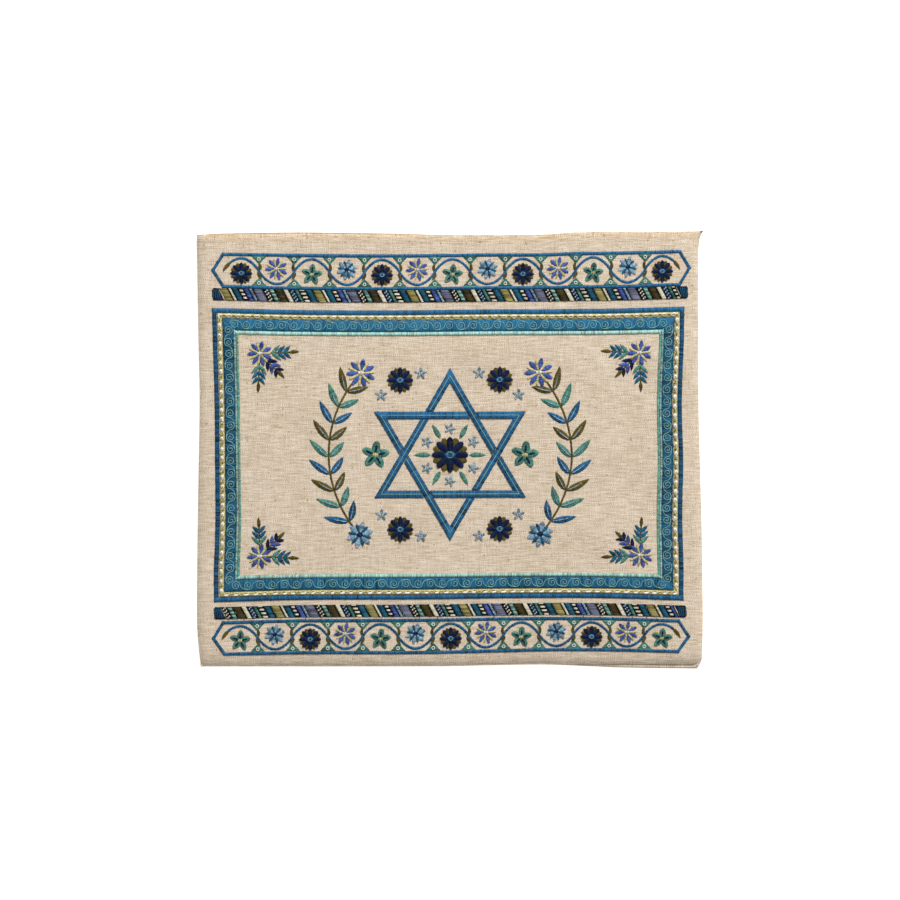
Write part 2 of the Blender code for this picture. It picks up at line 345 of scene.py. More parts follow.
def from_0_to_1(wire):
    """The wire's value, held between 0 and 1."""
    return wire.calculate("MAXIMUM", wire.calculate("MINIMUM", wire, 1.0), 0.0)


def round_thread(wire):
    """The rounded height of threads that lie side by side, one to each unit of the wire."""
    return wire.calculate("ABSOLUTE", wire.calculate("SINE", wire * pi))


def blend_colours(share, first, second):
    """A colour between two, each a wire or three numbers."""
    colours = [value if isinstance(value, Wire) else (*value, 1) for value in (first, second)]
    values = {0: share, 6: colours[0], 7: colours[1]}
    return share.node("ShaderNodeMix", {"data_type": "RGBA"}, values, output=2)


def dye(red, green, blue):
    """A colour as seen on a screen, made ready for a shader."""
    return tuple(((value / 255 + 0.055) / 1.055) ** 2.4 for value in (red, green, blue))


LINEN_PITCH = 0.00053  # metres from thread to thread
# Painted shade at the mouth: where it starts and how far it reaches, in metres, and how much it darkens
# the front and the back's lip
MOUTH_SHADE_START, MOUTH_SHADE_DEPTH, FRONT_MOUTH_SHADE, BACK_MOUTH_SHADE = 0.1035, 0.0055, 0.32, 0.9
LINEN_DARK, LINEN_LIGHT, LINEN_SLUB = dye(170, 142, 104), dye(243, 229, 210), dye(140, 110, 70)
# How much each of these counts in the light and dark of the linen; the relief's share is painted shade
# between the threads
THREAD_SHARE, RIB_SHARE, GRAIN_SHARE, MOTTLE_SHARE, RELIEF_SHADE_SHARE = 1.15, 0.6, 1.05, 0.14, 0.35
MEAN_SHARE = 0.53
SLUB_LEVEL, SLUB_STRENGTH = 0.77, 0.55


def linen_finish(name, mouth_shade_strength):
    """Plain weave: threads of many shades with brown slubs, and painted shade that darkens it, with more
    slubs, towards the mouth edge.
    """
    material, shader, u, v = new_finish(name, 0.88)
    across, along = u / LINEN_PITCH, v / LINEN_PITCH
    warp, weft = across.calculate("FLOOR", across), along.calculate("FLOOR", along)
    over = warp.calculate("FLOORED_MODULO", warp + weft, 2.0)
    warp_shade = noise(warp * 0.83, along * 0.06)
    weft_shade = noise(across * 0.06 + 70, weft * 0.83)
    shade = over * (warp_shade * 0.8 + 0.1) + (1 - over) * (weft_shade * 1.2 - 0.1)
    rib = noise(across * 0.07 + 11, along * 0.95 + 5, 1.0)
    grain = noise(across * 1.2 + 13, along * 1.2 + 29, 1.0)
    round_warp, round_weft = round_thread(across), round_thread(along)
    height = over * round_warp * (0.6 + 0.4 * round_weft)
    height = height + (1 - over) * round_weft * (0.6 + 0.4 * round_warp)
    mottle = noise(u * 30, v * 30, 3.0)
    # The relief's share paints shade where the weave dips between threads
    share = (shade - 0.5) * THREAD_SHARE + (rib - 0.5) * RIB_SHARE + (grain - 0.5) * GRAIN_SHARE
    share = share + (mottle - 0.5) * MOTTLE_SHARE + (height - 0.5) * RELIEF_SHADE_SHARE + MEAN_SHARE
    # Painted shade: the linen darkens towards the mouth edge, and gathers more slubs there
    painted_mouth_shade = from_0_to_1((v - MOUTH_SHADE_START) / MOUTH_SHADE_DEPTH) * mouth_shade_strength
    slub = noise(across * 0.3, along * 0.26 + 31, 1.0) + painted_mouth_shade * 0.3
    slub = slub.calculate("GREATER_THAN", slub, SLUB_LEVEL) * SLUB_STRENGTH
    plain = blend_colours(from_0_to_1(share - painted_mouth_shade), LINEN_DARK, LINEN_LIGHT)
    feed(shader, "Base Color", blend_colours(slub, plain, LINEN_SLUB))
    values = {"Height": height + shade, "Strength": 0.3, "Distance": 0.0001}
    feed(shader, "Normal", height.node("ShaderNodeBump", {}, values))
    shader.inputs["Sheen Weight"].default_value = 0.08
    return material


front = cloth_panel(
    "linen_front",
    cloth_lines(WIDTH / 2, SIDE_ROLL, SIDE_ROLL, FRONT_STEP),
    cloth_lines(HEIGHT / 2, FOOT_ROLL, MOUTH_ROLL, FRONT_STEP),
    lambda s, t: (*lie(s, t), front_height(s, t)),
)
front.data.materials.append(linen_finish("linen", FRONT_MOUTH_SHADE))
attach(front, "root")
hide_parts("front_panel")


# Back panel: a second piece of the same linen, plain, with its edges turned up to the seam. It lies
# flat on the floor, and shows as a narrow lip past the mouth on the left and past the foot on the
# right.
BACK_STEP = 3.5  # mm between the grid lines on the flat
LIP_DROP = 0.3  # mm that the lip at the mouth hangs under the seam


def back_height(s, t):
    """The height of the back panel's outer face, in mm."""
    lift = edge_lift(WIDTH / 2 - np.abs(s), SIDE_ROLL)
    lift = lift * edge_lift(HEIGHT / 2 - np.abs(t), np.where(t > 0, MOUTH_ROLL, FOOT_ROLL))
    open_lip = np.where(t > 0, LIP_DROP * (1 - (2 * s / WIDTH) ** 4), 0)
    return (SEAM - open_lip) * (1 - lift)


back = cloth_panel(
    "linen_back",
    cloth_lines(WIDTH / 2, SIDE_ROLL, SIDE_ROLL, BACK_STEP)[::-1],
    cloth_lines(HEIGHT / 2, FOOT_ROLL, MOUTH_ROLL, BACK_STEP),
    lambda s, t: (*lie(s, t, back=True), back_height(s, t)),
)
back.data.materials.append(linen_finish("linen_of_the_back", BACK_MOUTH_SHADE))
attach(back, "root")
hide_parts("back_panel")


# Outer line of the frame: a machine satin line in blue rayon thread, each thread reaching across
# the line and arched over the padding stitches under it, with the threads fanned round the four
# corners.
THREAD = 0.42  # mm from thread to thread
THREAD_WIDTH = THREAD * 1.3
THREAD_ROUND = 0.15  # mm from the crest of a thread down to its sides
# Painted shade: the next value is the share of its colour that a thread keeps where its ends dip into the
# cloth
KEPT_UNDER_END_SHADE = 0.1  # how much of its light a thread keeps where its ends dip into the cloth
PATCH, PATCH_SPREAD, SHADE_SPREAD = 3, 0.24, 0.18  # threads to a patch, and how the shades vary
WANDER, UNEVEN = 0.06, 0.03  # mm by which the ends of threads and their heights vary
ARCH = ((0, -0.2), (0.1, 0.48), (0.33, 0.93), (0.67, 0.93), (0.9, 0.48), (1, -0.2))
FLAT_ARCH = ((0, -0.2), (0.05, 0.7), (0.2, 1), (0.8, 1), (0.95, 0.7), (1, -0.2))
SMALL_ARCH = ((0, -0.3), (0.2, 0.8), (0.5, 1), (0.8, 0.8), (1, -0.3))

# How far the stitching drifts from its ruled place: along the line, and the drift there, in mm
UPPER_DRIFT = ((-110, 0.4), (-75, 0), (-25, 0.35), (25, 0.95), (75, 0.45), (110, 0.8))
LOWER_DRIFT = ((-110, -0.2), (-75, 0.2), (-25, 0), (25, 0.4), (75, 0.85), (110, 0.4))
LEFT_DRIFT = ((-60, 0.1), (-35, 0.9), (-5, 0.6), (25, 0.3), (55, 0.2))
RIGHT_DRIFT = ((-60, -0.1), (-35, -0.7), (-5, 0), (25, -0.5), (55, 0.4))
DRIFT_ASIDE, DRIFT_UP = 112, 70  # how far from the middle the drift is at its full, in mm


def on_front(s, t, above):
    """Points that far above the front panel, in metres, with the drift of the stitching."""
    high, aside = np.clip(t / DRIFT_UP, -1, 1), np.clip(s / DRIFT_ASIDE, -1, 1)
    up = through(UPPER_DRIFT, s) * (1 + high) / 2 + through(LOWER_DRIFT, s) * (1 - high) / 2
    across = through(LEFT_DRIFT, t) * np.maximum(-aside, 0)
    across = across + through(RIGHT_DRIFT, t) * np.maximum(aside, 0)
    s, t = s + across, t + up * np.abs(high)
    return np.stack([*lie(s, t), front_height(s, t) + above], axis=-1) * MM


def unit(ways):
    """The same ways, each 1 long."""
    return ways / np.maximum(np.linalg.norm(ways, axis=-1, keepdims=True), 1e-9)


def resample(points, places):
    """Points along a line of points, at those shares of its length."""
    points = np.asarray(points, dtype=float)
    run = np.concatenate([[0], np.cumsum(np.linalg.norm(np.diff(points, axis=0), axis=1))])
    return np.stack([np.interp(places * run[-1], run, column) for column in points.T], axis=1)


def raised(path, height):
    """The points of a flat path, all at that height over the cloth."""
    return np.c_[path, np.full(len(path), height)]


class Stitching:
    """The threads of one stitched piece, gathered by colour and then made one mesh."""

    def __init__(self, seed):
        self.draw = np.random.default_rng(seed)
        self.points, self.maps, self.faces, self.inks = [], [], [], []
        self.count = 0
        self.finishes = []

    def gather(self, points, maps, faces, finish):
        """Keeps one batch of points, with its faces numbered from the batch's first point."""
        if finish not in self.finishes:
            self.finishes.append(finish)
        self.points.append(points)
        self.maps.append(maps)
        for batch in faces:
            self.faces += (batch + self.count).tolist()
            self.inks.append(np.full(len(batch), self.finishes.index(finish)))
        self.count += len(points)

    def shades(self, many, mean=0.5):
        """A shade from 0 to 1 for each thread, with patches of lighter and darker ones."""
        spots = many // PATCH + 3
        patches = np.interp(np.arange(many) / PATCH, np.arange(spots), self.draw.random(spots))
        spread = self.draw.normal(0, SHADE_SPREAD, many)
        return np.clip(mean + (patches - 0.5) * PATCH_SPREAD + spread, 0, 1)

    def lay(self, lines, finish):
        """Lays threads along lines: threads by points by s, t and height over the cloth."""
        many, long = lines.shape[:2]
        middle = on_front(lines[..., 0], lines[..., 1], lines[..., 2])
        run = np.gradient(middle, axis=1)
        side = np.stack([run[..., 1], -run[..., 0], np.zeros((many, long))], axis=-1)
        side = unit(side) * THREAD_WIDTH * MM / 2
        low = np.array([0, 0, -THREAD_ROUND * MM])
        points = np.stack([middle - side + low, middle, middle + side + low], axis=2).reshape(-1, 3)
        upright = np.abs(unit(lines[:, -1, :2] - lines[:, 0, :2])[:, 1])
        nearer = np.clip(lines[:, 0, 1] / DRIFT_UP, -1, 1)
        # Painted sheen: threads that point at the light get a lighter shade, most of all near the mouth
        own = np.repeat(self.shades(many, 0.34 + (0.33 + 0.1 * nearer) * upright), long * 3)
        place = np.tile(np.repeat(np.linspace(0, 1, long), 3), many)
        start = np.arange(many)[:, None] * long * 3
        first = start[:, None] + np.arange(long - 1)[:, None] * 3
        edge = np.arange(3)
        after = (edge + 1) % 3
        quads = np.stack([first + edge, first + after, first + 3 + after, first + 3 + edge], axis=-1)
        ends = np.concatenate([start + [[0, 2, 1]], start + (long - 1) * 3 + [[0, 1, 2]]])
        self.gather(points, np.c_[own, place], [quads.reshape(-1, 4), ends], finish)

    def satin(self, left, right, finish, rise, base=0.0, arch=SMALL_ARCH):
        """Arched threads side by side from edge to edge, as uneven as a machine leaves them."""
        many = len(left)
        share, lift = np.transpose(arch)
        wander = self.draw.normal(0, WANDER, (2, many, 1))
        across = unit(right - left)
        left, right = left + wander[0] * across, right + wander[1] * across
        flat = left[:, None] + (right - left)[:, None] * share[:, None]
        height = base + rise * lift + self.draw.normal(0, UNEVEN, (many, 1))
        self.lay(np.concatenate([flat, height[..., None]], axis=-1), finish)

    def stroke(self, path, width, finish, rise, base=0.0):
        """A satin line along a path, of one width or of a width for each of its points."""
        length = np.linalg.norm(np.diff(path, axis=0), axis=1).sum()
        places = np.linspace(0, 1, max(3, round(length / THREAD)))
        run = np.gradient(path, axis=0)
        aside = unit(np.c_[-run[:, 1], run[:, 0]])
        reach = aside * np.broadcast_to(width, len(path))[:, None] / 2
        line = resample(np.concatenate([path + reach, path - reach], axis=1), places)
        self.satin(line[:, :2], line[:, 2:], finish, rise, base)

    def tube(self, path, radius, finish, sides=6, closed=False):
        """A round thread along a path of s, t and height, of one radius or of a radius for each point."""
        middle = on_front(path[:, 0], path[:, 1], path[:, 2])
        ahead = np.gradient(middle, axis=0)
        if closed:
            ahead = np.roll(middle, -1, axis=0) - np.roll(middle, 1, axis=0)
        side = unit(np.c_[ahead[:, 1], -ahead[:, 0], np.zeros(len(path))])
        up = unit(np.cross(side, ahead))
        turn = np.linspace(0, 2 * pi, sides, endpoint=False)
        ring = side[:, None] * np.cos(turn)[:, None] + up[:, None] * np.sin(turn)[:, None]
        points = middle[:, None] + ring * np.broadcast_to(radius, len(path))[:, None, None] * MM
        spans = np.arange(len(path) if closed else len(path) - 1)[:, None] * sides
        edge = np.arange(sides)
        after = (edge + 1) % sides
        beyond = (spans + sides) % (len(path) * sides)
        quads = np.stack([spans + after, spans + edge, beyond + edge, beyond + after], axis=-1)
        batches = [quads.reshape(-1, 4)]
        if not closed:
            batches.append(edge[None])
            batches.append(edge[None, ::-1] + (len(path) - 1) * sides)
        own = np.repeat(self.shades(len(path)), sides)
        maps = np.c_[own, np.full(len(own), 0.5)]
        self.gather(points.reshape(-1, 3), maps, batches, finish)

    def make(self, name):
        """Makes the mesh of all that was laid, and gives its object."""
        mesh = bpy.data.meshes.new(name)
        mesh.from_pydata(np.concatenate(self.points).tolist(), [], self.faces)
        for finish in self.finishes:
            mesh.materials.append(finish)
        mesh.polygons.foreach_set("material_index", np.concatenate(self.inks))
        mesh.uv_layers.new(name="UVMap")
        map_points(mesh, np.concatenate(self.maps))
        mesh.shade_smooth()
        mesh.update()
        piece = bpy.data.objects.new(name, mesh)
        bpy.context.collection.objects.link(piece)
        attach(piece, "root")
        return piece


def rayon(name, colour, spread=0.7):
    """Rayon thread with a soft shine, each thread of its own shade, and painted shade where its ends dip.
    """
    material, shader, shade, place = new_finish(name, 0.45)
    # Painted shade: each thread darkens towards its ends, where they dip into the cloth
    inward = place * (1 - place) * 4
    clear_of_end_shade = 1 - (1 - inward) ** 2.0
    share = shade * (KEPT_UNDER_END_SHADE + (1 - KEPT_UNDER_END_SHADE) * clear_of_end_shade)
    dark, light = (tuple(min(c * (1 + way * spread), 1) for c in dye(*colour)) for way in (-1, 1))
    feed(shader, "Base Color", blend_colours(share, dark, light))
    shader.inputs["Specular IOR Level"].default_value = 0.2
    return material


BLUE = rayon("blue_thread", (38, 95, 134), 0.88)
FRAME = ((-119.4, 71.0), (118.4, 71.0), (116.7, -76.2), (-117.9, -76.2))
OUTER_START, OUTER_WIDTH, OUTER_RISE = -0.05, 2.55, 1.05


def inset(corners, distance):
    """The corners, given clockwise, of the same outline that distance further in."""
    corners = np.asarray(corners, dtype=float)
    into = unit(corners - np.roll(corners, 1, axis=0))
    middle = unit(into + np.roll(into, -1, axis=0))
    inward = np.c_[middle[:, 1], -middle[:, 0]]
    return corners + inward * distance / (middle * into).sum(axis=1, keepdims=True)


def border_sides(corners, start, width):
    """Both edges of each side of a border in an outline, its threads fanned at the corners."""
    outer, inner = inset(corners, start), inset(corners, start + width)
    for i in range(len(corners)):
        j = (i + 1) % len(corners)
        length = np.linalg.norm(outer[j] - outer[i])
        ahead = (outer[j] - outer[i]) / length
        first, last = (inner[i] - outer[i]) @ ahead, (inner[j] - outer[i]) @ ahead
        places = np.linspace(0, length, round(length / THREAD))[:, None]
        share = np.clip((places - first) / (last - first), 0, 1)
        yield outer[i] + ahead * places, inner[i] + (inner[j] - inner[i]) * share


def satin_border(work, corners, start, width, finish, rise, arch=ARCH):
    """A closed satin line round an outline, that far in from it."""
    for left, right in border_sides(corners, start, width):
        work.satin(left, right, finish, rise, arch=arch)


work = Stitching(1)
satin_border(work, FRAME, OUTER_START, OUTER_WIDTH, BLUE, OUTER_RISE)
outer_line = work.make("outer_line_stitching")
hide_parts("frame_outer_line")


# Twisted cord of the frame: gold threads sewn like a rope, with a gold strand that winds from side
# to side, an olive shade line beside it, and a white padded stitch in each turn, no two quite alike.
# Down the sides these are full and round, with darker gold knots between them.
CORD_TURN = 4.75  # mm from one turn to the next
CORD_START, CORD_WIDTH, CORD_RISE, CORD_SLANT = 2.42, 2.66, 0.55, 1.1
PATH_STEP = 0.4
GOLD = rayon("gold_thread", (214, 202, 142), 0.45)
OLIVE = rayon("olive_thread", (98, 86, 34), 0.6)
SHADE_GOLD = rayon("shade_gold_thread", (156, 142, 82), 0.4)
WHITE = rayon("white_thread", (252, 246, 234), 0.15)
WINDING_INWARD = 0.12
WINDINGS = (
    # how far it swings, its height over the cloth, radius, colour
    (0.68, 0.64, 0.36, GOLD),
    (0.2, 0.68, 0.27, OLIVE),
)
PUFF_POINTS, PUFF_REACH, PUFF_TOP, PUFF_LEAN = 8, 1.25, 1.32, 0.16
PUFF_LENGTHS, PUFF_PLUMPNESS, PUFF_DRIFT = (0.8, 1.15), (0.86, 1.04), 0.05
SLIM_PUFF, SLIM_OUTWARD, FULL_PUFF = 0.58, 0.42, 1.02
KNOT_SHAPE = np.array([0.35, 1, 0.35])
KNOTS = (
    # steps of the path past the padded stitch, height of the top, radius
    (-6, 1.4, 0.85),
    (0, 1.5, 0.3),
)


def loop_path(corners, step):
    """Points round a closed outline, about a step apart, and the way inwards at each."""
    closed = np.concatenate([corners, corners[:1]])
    many = round(np.linalg.norm(np.diff(closed, axis=0), axis=1).sum() / step)
    path = resample(closed, np.arange(many) / many)
    ahead = np.roll(path, -1, axis=0) - np.roll(path, 1, axis=0)
    return path, unit(np.c_[ahead[:, 1], -ahead[:, 0]])


def along_loop(path, inward, places):
    """Points on a closed path and the way inwards there, by places counted in its points."""
    low = np.floor(places).astype(int)
    share = (places - low)[:, None]
    low, high = low % len(path), (low + 1) % len(path)
    return path[low] * (1 - share) + path[high] * share, inward[low]


work = Stitching(2)
slant_threads = round(CORD_SLANT / THREAD)
for left, right in border_sides(FRAME, CORD_START, CORD_WIDTH):
    left, right = left[slant_threads:], right[:-slant_threads]
    work.satin(left, right, GOLD, CORD_RISE)
path, inward = loop_path(inset(FRAME, CORD_START + CORD_WIDTH / 2), PATH_STEP)
turns = round(len(path) * PATH_STEP / CORD_TURN)
angle = np.arange(len(path)) / len(path) * turns * 2 * pi
for swing, height, radius, finish in WINDINGS:
    winding = path + inward * (WINDING_INWARD + swing * np.cos(angle))[:, None]
    work.tube(raised(winding, height), radius, finish, 5, closed=True)
along_puff = np.linspace(-1, 1, PUFF_POINTS)
for k in range(turns):
    middle = (k + work.draw.normal(0, PUFF_DRIFT)) * len(path) / turns
    longer = work.draw.uniform(*PUFF_LENGTHS)
    fuller = work.draw.uniform(*PUFF_PLUMPNESS)
    spot, aside = along_loop(path, inward, middle + along_puff * longer * PUFF_REACH / PATH_STEP)
    down_a_side = abs(aside[PUFF_POINTS // 2, 1]) <= 0.5
    outward, plump = (0.0, FULL_PUFF) if down_a_side else (SLIM_OUTWARD, SLIM_PUFF)
    plump = plump * fuller
    puff = spot - aside * (outward + PUFF_LEAN * along_puff)[:, None]
    body = plump * np.sqrt(1.08 - along_puff**2)
    work.tube(raised(puff, PUFF_TOP - plump), body, WHITE)
    for past, top, radius in KNOTS if down_a_side else ():
        knot, _ = along_loop(path, inward, middle + past + np.array([-1, 0, 1]))
        work.tube(raised(knot, top - radius), KNOT_SHAPE * radius, SHADE_GOLD)
cord = work.make("twisted_cord_stitching")
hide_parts("frame_twisted_cord")


# Scroll band of the frame: the widest satin band, in blue thread that reaches right across it. A
# running scroll in one thin pale thread is sewn on top, its curls turned up and down in turn.
BAND_START, BAND_WIDTH, BAND_RISE = 5.0, 6.1, 0.85
SCROLL_PITCH, SCROLL_REACH, SCROLL_RADIUS, SCROLL_LIFT = 6.05, 2.1, 0.19, 0.06
SWEEP_POINTS, CURL_POINTS, CURL_TURN = 8, 26, 3.5 * pi
PALE = rayon("pale_thread", (124, 172, 168), 0.4)
DEEP_BLUE = rayon("deep_blue_thread", (36, 100, 134), 0.82)
work = Stitching(3)
satin_border(work, FRAME, BAND_START, BAND_WIDTH, DEEP_BLUE, BAND_RISE, FLAT_ARCH)
band = work.make("scroll_band_stitching")
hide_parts("frame_scroll_band")


def bezier(points, many):
    """Points along a cubic curve, without its last one."""
    f = np.linspace(0, 1, many + 1)[:-1, None]
    a, b, c, d = np.asarray(points, dtype=float)
    return a * (1 - f) ** 3 + b * 3 * f * (1 - f) ** 2 + c * 3 * f**2 * (1 - f) + d * f**3


def scroll_curl():
    """One curl of the running scroll about 0, 0, with the sweep from under the curl before."""
    before, low, left = -SCROLL_PITCH, -SCROLL_REACH, -SCROLL_REACH
    corners = [(before, low), (before + 1.9, low), (left - 0.5, -1.4), (left, 0)]
    turn = np.linspace(0, CURL_TURN, CURL_POINTS)
    shrink = SCROLL_REACH * (1 - 0.85 * np.maximum(turn - 1.8, 0) / (CURL_TURN - 1.8))
    curl = np.c_[-shrink * np.cos(turn), shrink * np.sin(turn)]
    return np.concatenate([bezier(corners, SWEEP_POINTS), curl])


work = Stitching(4)
scroll_corners = inset(FRAME, BAND_START + BAND_WIDTH / 2)
swept_curl = scroll_curl()
for i in range(4):
    start, end = scroll_corners[i], scroll_corners[(i + 1) % 4]
    length = np.linalg.norm(end - start)
    ahead = (end - start) / length
    aside = np.array([-ahead[1], ahead[0]])
    many = round(length / SCROLL_PITCH)
    for k in range(many):
        middle = start + ahead * length * (k + 0.5) / many
        curl = swept_curl if k else swept_curl[SWEEP_POINTS:]
        flat = middle + curl[:, :1] * ahead + curl[:, 1:] * aside * (-1) ** k
        work.tube(raised(flat, BAND_RISE + SCROLL_LIFT), SCROLL_RADIUS, PALE, 5)
scroll = work.make("running_scroll")


# Inner line of the frame: a narrow satin line in mint thread, the last border before the field.
# Down the sides it is sewn in two rows, the outer one over the edge of the scroll band and the inner one
# in a darker copy of the mint thread, painted shade where the sheen falls off.
INNER_START, INNER_WIDTH, INNER_RISE = 11.0, 2.1, 1.0
ROW_SHARE, ROW_OVERLAP, SHADED_ROW_RISE = 0.5, 0.45, 0.9
MINT = rayon("mint_thread", (160, 199, 188), 0.65)
# A darker copy of the mint thread, painted shade for the inner row down the sides
SHADED_MINT = rayon("shaded_mint_thread", (122, 180, 166), 0.5)
work = Stitching(5)
for i, (left, right) in enumerate(border_sides(FRAME, INNER_START, INNER_WIDTH)):
    if i % 2:
        left = left + (left - right) * ROW_OVERLAP / INNER_WIDTH
        between = left + (right - left) * ROW_SHARE
        work.satin(left, between, MINT, INNER_RISE)
        work.satin(between, right, SHADED_MINT, SHADED_ROW_RISE)
    else:
        work.satin(left, right, MINT, INNER_RISE, arch=ARCH)
inner_line = work.make("inner_line_stitching")
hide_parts("frame_inner_line")


# Lines of the flower bands: a narrow satin line in blue rayon thread round each band, pointed at
# both ends, and sewn in one go like the outer line of the frame.
LINE_WIDTH, LINE_RISE, POINT_LENGTH = 1.7, 0.8, 5.7
FLOWER_BANDS = (
    # name, middle, left and right corners, half height
    ("upper", 90.1, -113.9, 116.3, 9.0),
    ("lower", -94.5, -113.8, 114.6, 8.7),
)


def band_outline(middle, left, right, half):
    """The corners of a flower band, clockwise from its left point."""
    return (
        (left - POINT_LENGTH, middle), (left, middle + half), (right, middle + half),
        (right + POINT_LENGTH, middle), (right, middle - half), (left, middle - half),
    )


for name, middle, left, right, half in FLOWER_BANDS:
    work = Stitching(6)
    satin_border(work, band_outline(middle, left, right, half), 0, LINE_WIDTH, BLUE, LINE_RISE)
    line = work.make(name + "_band_line_stitching")
    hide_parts(name + "_flower_band_line")


# Flowers in the bands: a running vine that passes over one flower and under the next, with olive
# leaves between them and teal points along both lines. All are filled with satin stitches in rayon
# thread.
NAVY = rayon("navy_thread", (16, 34, 72))
LIGHT_BLUE = rayon("light_blue_thread", (148, 176, 198))
PERIWINKLE = rayon("periwinkle_thread", (76, 100, 172))
TEAL = rayon("teal_thread", (84, 140, 124))
SEA = rayon("sea_thread", (30, 98, 124))
FLOWER_PITCH, MANY_FLOWERS, FLOWER_SIZE, FLOWER_SHIFT = 17.6, 13, 5.3, 1.3
VINE_WIDTH, VINE_PAST_FLOWERS, VINE_INSET = 1.5, 5.5, 2.75
TEAL_POINT_WIDTHS, TEAL_POINT_HEIGHT = np.linspace(9.2, 0.3, 6), 4.0


def facing(angle):
    return np.array([math.cos(angle), math.sin(angle)])


def leaf(work, root, angle, length, width, finish, bend, rise=0.6, base=0.0, point=0.75):
    """A leaf or petal that bends to one side towards its tip. A small point makes it rounder."""
    f = np.linspace(0, 1, 16)[:, None]
    path = np.asarray(root) + facing(angle) * length * f
    path = path + facing(angle + pi / 2) * length * bend * f * f
    shape = np.sin(pi * f[:, 0] ** 0.8) ** point
    work.stroke(path, 0.25 + (width - 0.25) * shape, finish, rise, base)


def disc(work, middle, radius, finish, rise, base=0.0):
    """A round spot filled with satin stitches."""
    f = np.linspace(-1, 1, 12)
    path = np.asarray(middle) + np.c_[f * radius, 0 * f]
    work.stroke(path, 0.1 + 2 * radius * np.sqrt(1 - f * f), finish, rise, base)


def ring(work, middle, radius, finish, thick, base):
    """One thread sewn round in a ring."""
    turn = np.linspace(0, 2 * pi, 18, endpoint=False)
    path = np.asarray(middle) + radius * np.c_[np.cos(turn), np.sin(turn)]
    work.tube(raised(path, base), thick, finish, 5, closed=True)


def rosette(work, middle, count, inner, outer, width, finish, turn=0.0, rise=0.7, base=0.1):
    """Round petals set evenly round a point."""
    for k in range(count):
        angle = turn + k * 2 * pi / count
        root = middle + facing(angle) * inner
        leaf(work, root, angle, outer - inner, width, finish, 0.0, rise, base, 0.45)


def small_flower(work, middle, outer, width, turn=0.0, heart=0.8):
    """Five light blue petals round a gold heart."""
    rosette(work, middle, 5, 0.6, outer, width, LIGHT_BLUE, turn)
    disc(work, middle, heart, GOLD, 0.8)


FLOWERS = {
    # two rings of petals: how many, reach inside and outside, width, colour, turn, rise, base;
    # and a heart: reach, colour, rise, base. Reach and width are shares of the flower's size.
    "dark": (
        (8, 0.3, 1, 0.62, OLIVE, pi / 8, 0.5, 0),
        (8, 0.24, 1, 0.54, NAVY, 0, 0.85, 0.1),
        (0.3, SEA, 0.8, 0.25),
    ),
    "star": (
        (7, 0.3, 1.02, 0.42, PERIWINKLE, 0.5, 0.7, 0.1),
        (7, 0.2, 0.92, 0.26, GOLD, 0.5 + pi / 7, 0.6, 0.1),
        (0.2, WHITE, 0.7, 0.2),
    ),
    "teal": (
        (5, 0.16, 0.96, 0.68, TEAL, 0.2, 0.65, 0.1),
        (5, 0.2, 0.7, 0.22, NAVY, 0.2, 0.6, 0.45),
        (0.2, GOLD, 0.7, 0.35),
    ),
    "pale": (
        (6, 0.2, 0.94, 0.5, LIGHT_BLUE, 0.3, 0.6, 0.1),
        (6, 0.2, 0.8, 0.3, SEA, 0.3 + pi / 6, 0.8, 0.1),
        (0.22, NAVY, 0.8, 0.2),
    ),
}


def flower(work, kind, middle, size):
    """A flower of one kind. The dark one has a ring of thread in its heart."""
    *rings, (reach, finish, *heights) = FLOWERS[kind]
    for count, inner, outer, width, *rest in rings:
        rosette(work, middle, count, size * inner, size * outer, size * width, *rest)
    disc(work, middle, size * reach, finish, *heights)
    if kind == "dark":
        ring(work, middle, size * 0.17, LIGHT_BLUE, 0.14, 1.0)


for row, (name, middle, left, right, half) in enumerate(FLOWER_BANDS):
    work = Stitching(7 + row)
    reach = FLOWER_PITCH * (MANY_FLOWERS - 1)
    first = (left + right) / 2 - reach / 2
    along = np.linspace(first - VINE_PAST_FLOWERS, first + reach + VINE_PAST_FLOWERS, 400)
    swing = np.cos((along - first) * pi / FLOWER_PITCH)
    swing = (half - VINE_INSET) * np.sign(swing) * np.abs(swing) ** 0.8
    vine = np.c_[along, middle + swing]
    work.stroke(vine, VINE_WIDTH, BLUE, 0.5)
    leaf(work, vine[0], 1.22 * pi, 5.5, 2.2, OLIVE, 0.2)
    leaf(work, vine[-1], -0.22 * pi, 5.5, 2.2, OLIVE, -0.2)
    rail = half - LINE_WIDTH + 0.2
    for k in range(MANY_FLOWERS):
        over = (-1) ** k
        spot = np.array([first + k * FLOWER_PITCH, middle - over * FLOWER_SHIFT])
        flower(work, list(FLOWERS)[(k + 2 * row) % len(FLOWERS)], spot, FLOWER_SIZE)
        if k == MANY_FLOWERS - 1:
            continue
        gap = np.array([spot[0] + FLOWER_PITCH / 2, middle])
        for side in (1, -1):
            root, way = gap + np.array([0.5 * over * side, 0.5 * side]), (0.5 - 0.06 * over) * side
            leaf(work, root, pi * way, 3.6, 1.9, OLIVE, 0.3 * over)
            point = gap + np.array([[0, side * rail], [0, side * (rail - TEAL_POINT_HEIGHT)]])
            path = resample(point, np.linspace(0, 1, len(TEAL_POINT_WIDTHS)))
            work.stroke(path, TEAL_POINT_WIDTHS, TEAL, 0.5)
            ring(work, point[0] - (0, side * 1.45), 0.7, WHITE, 0.19, 0.62)
    flowers = work.make(name + "_flowers")


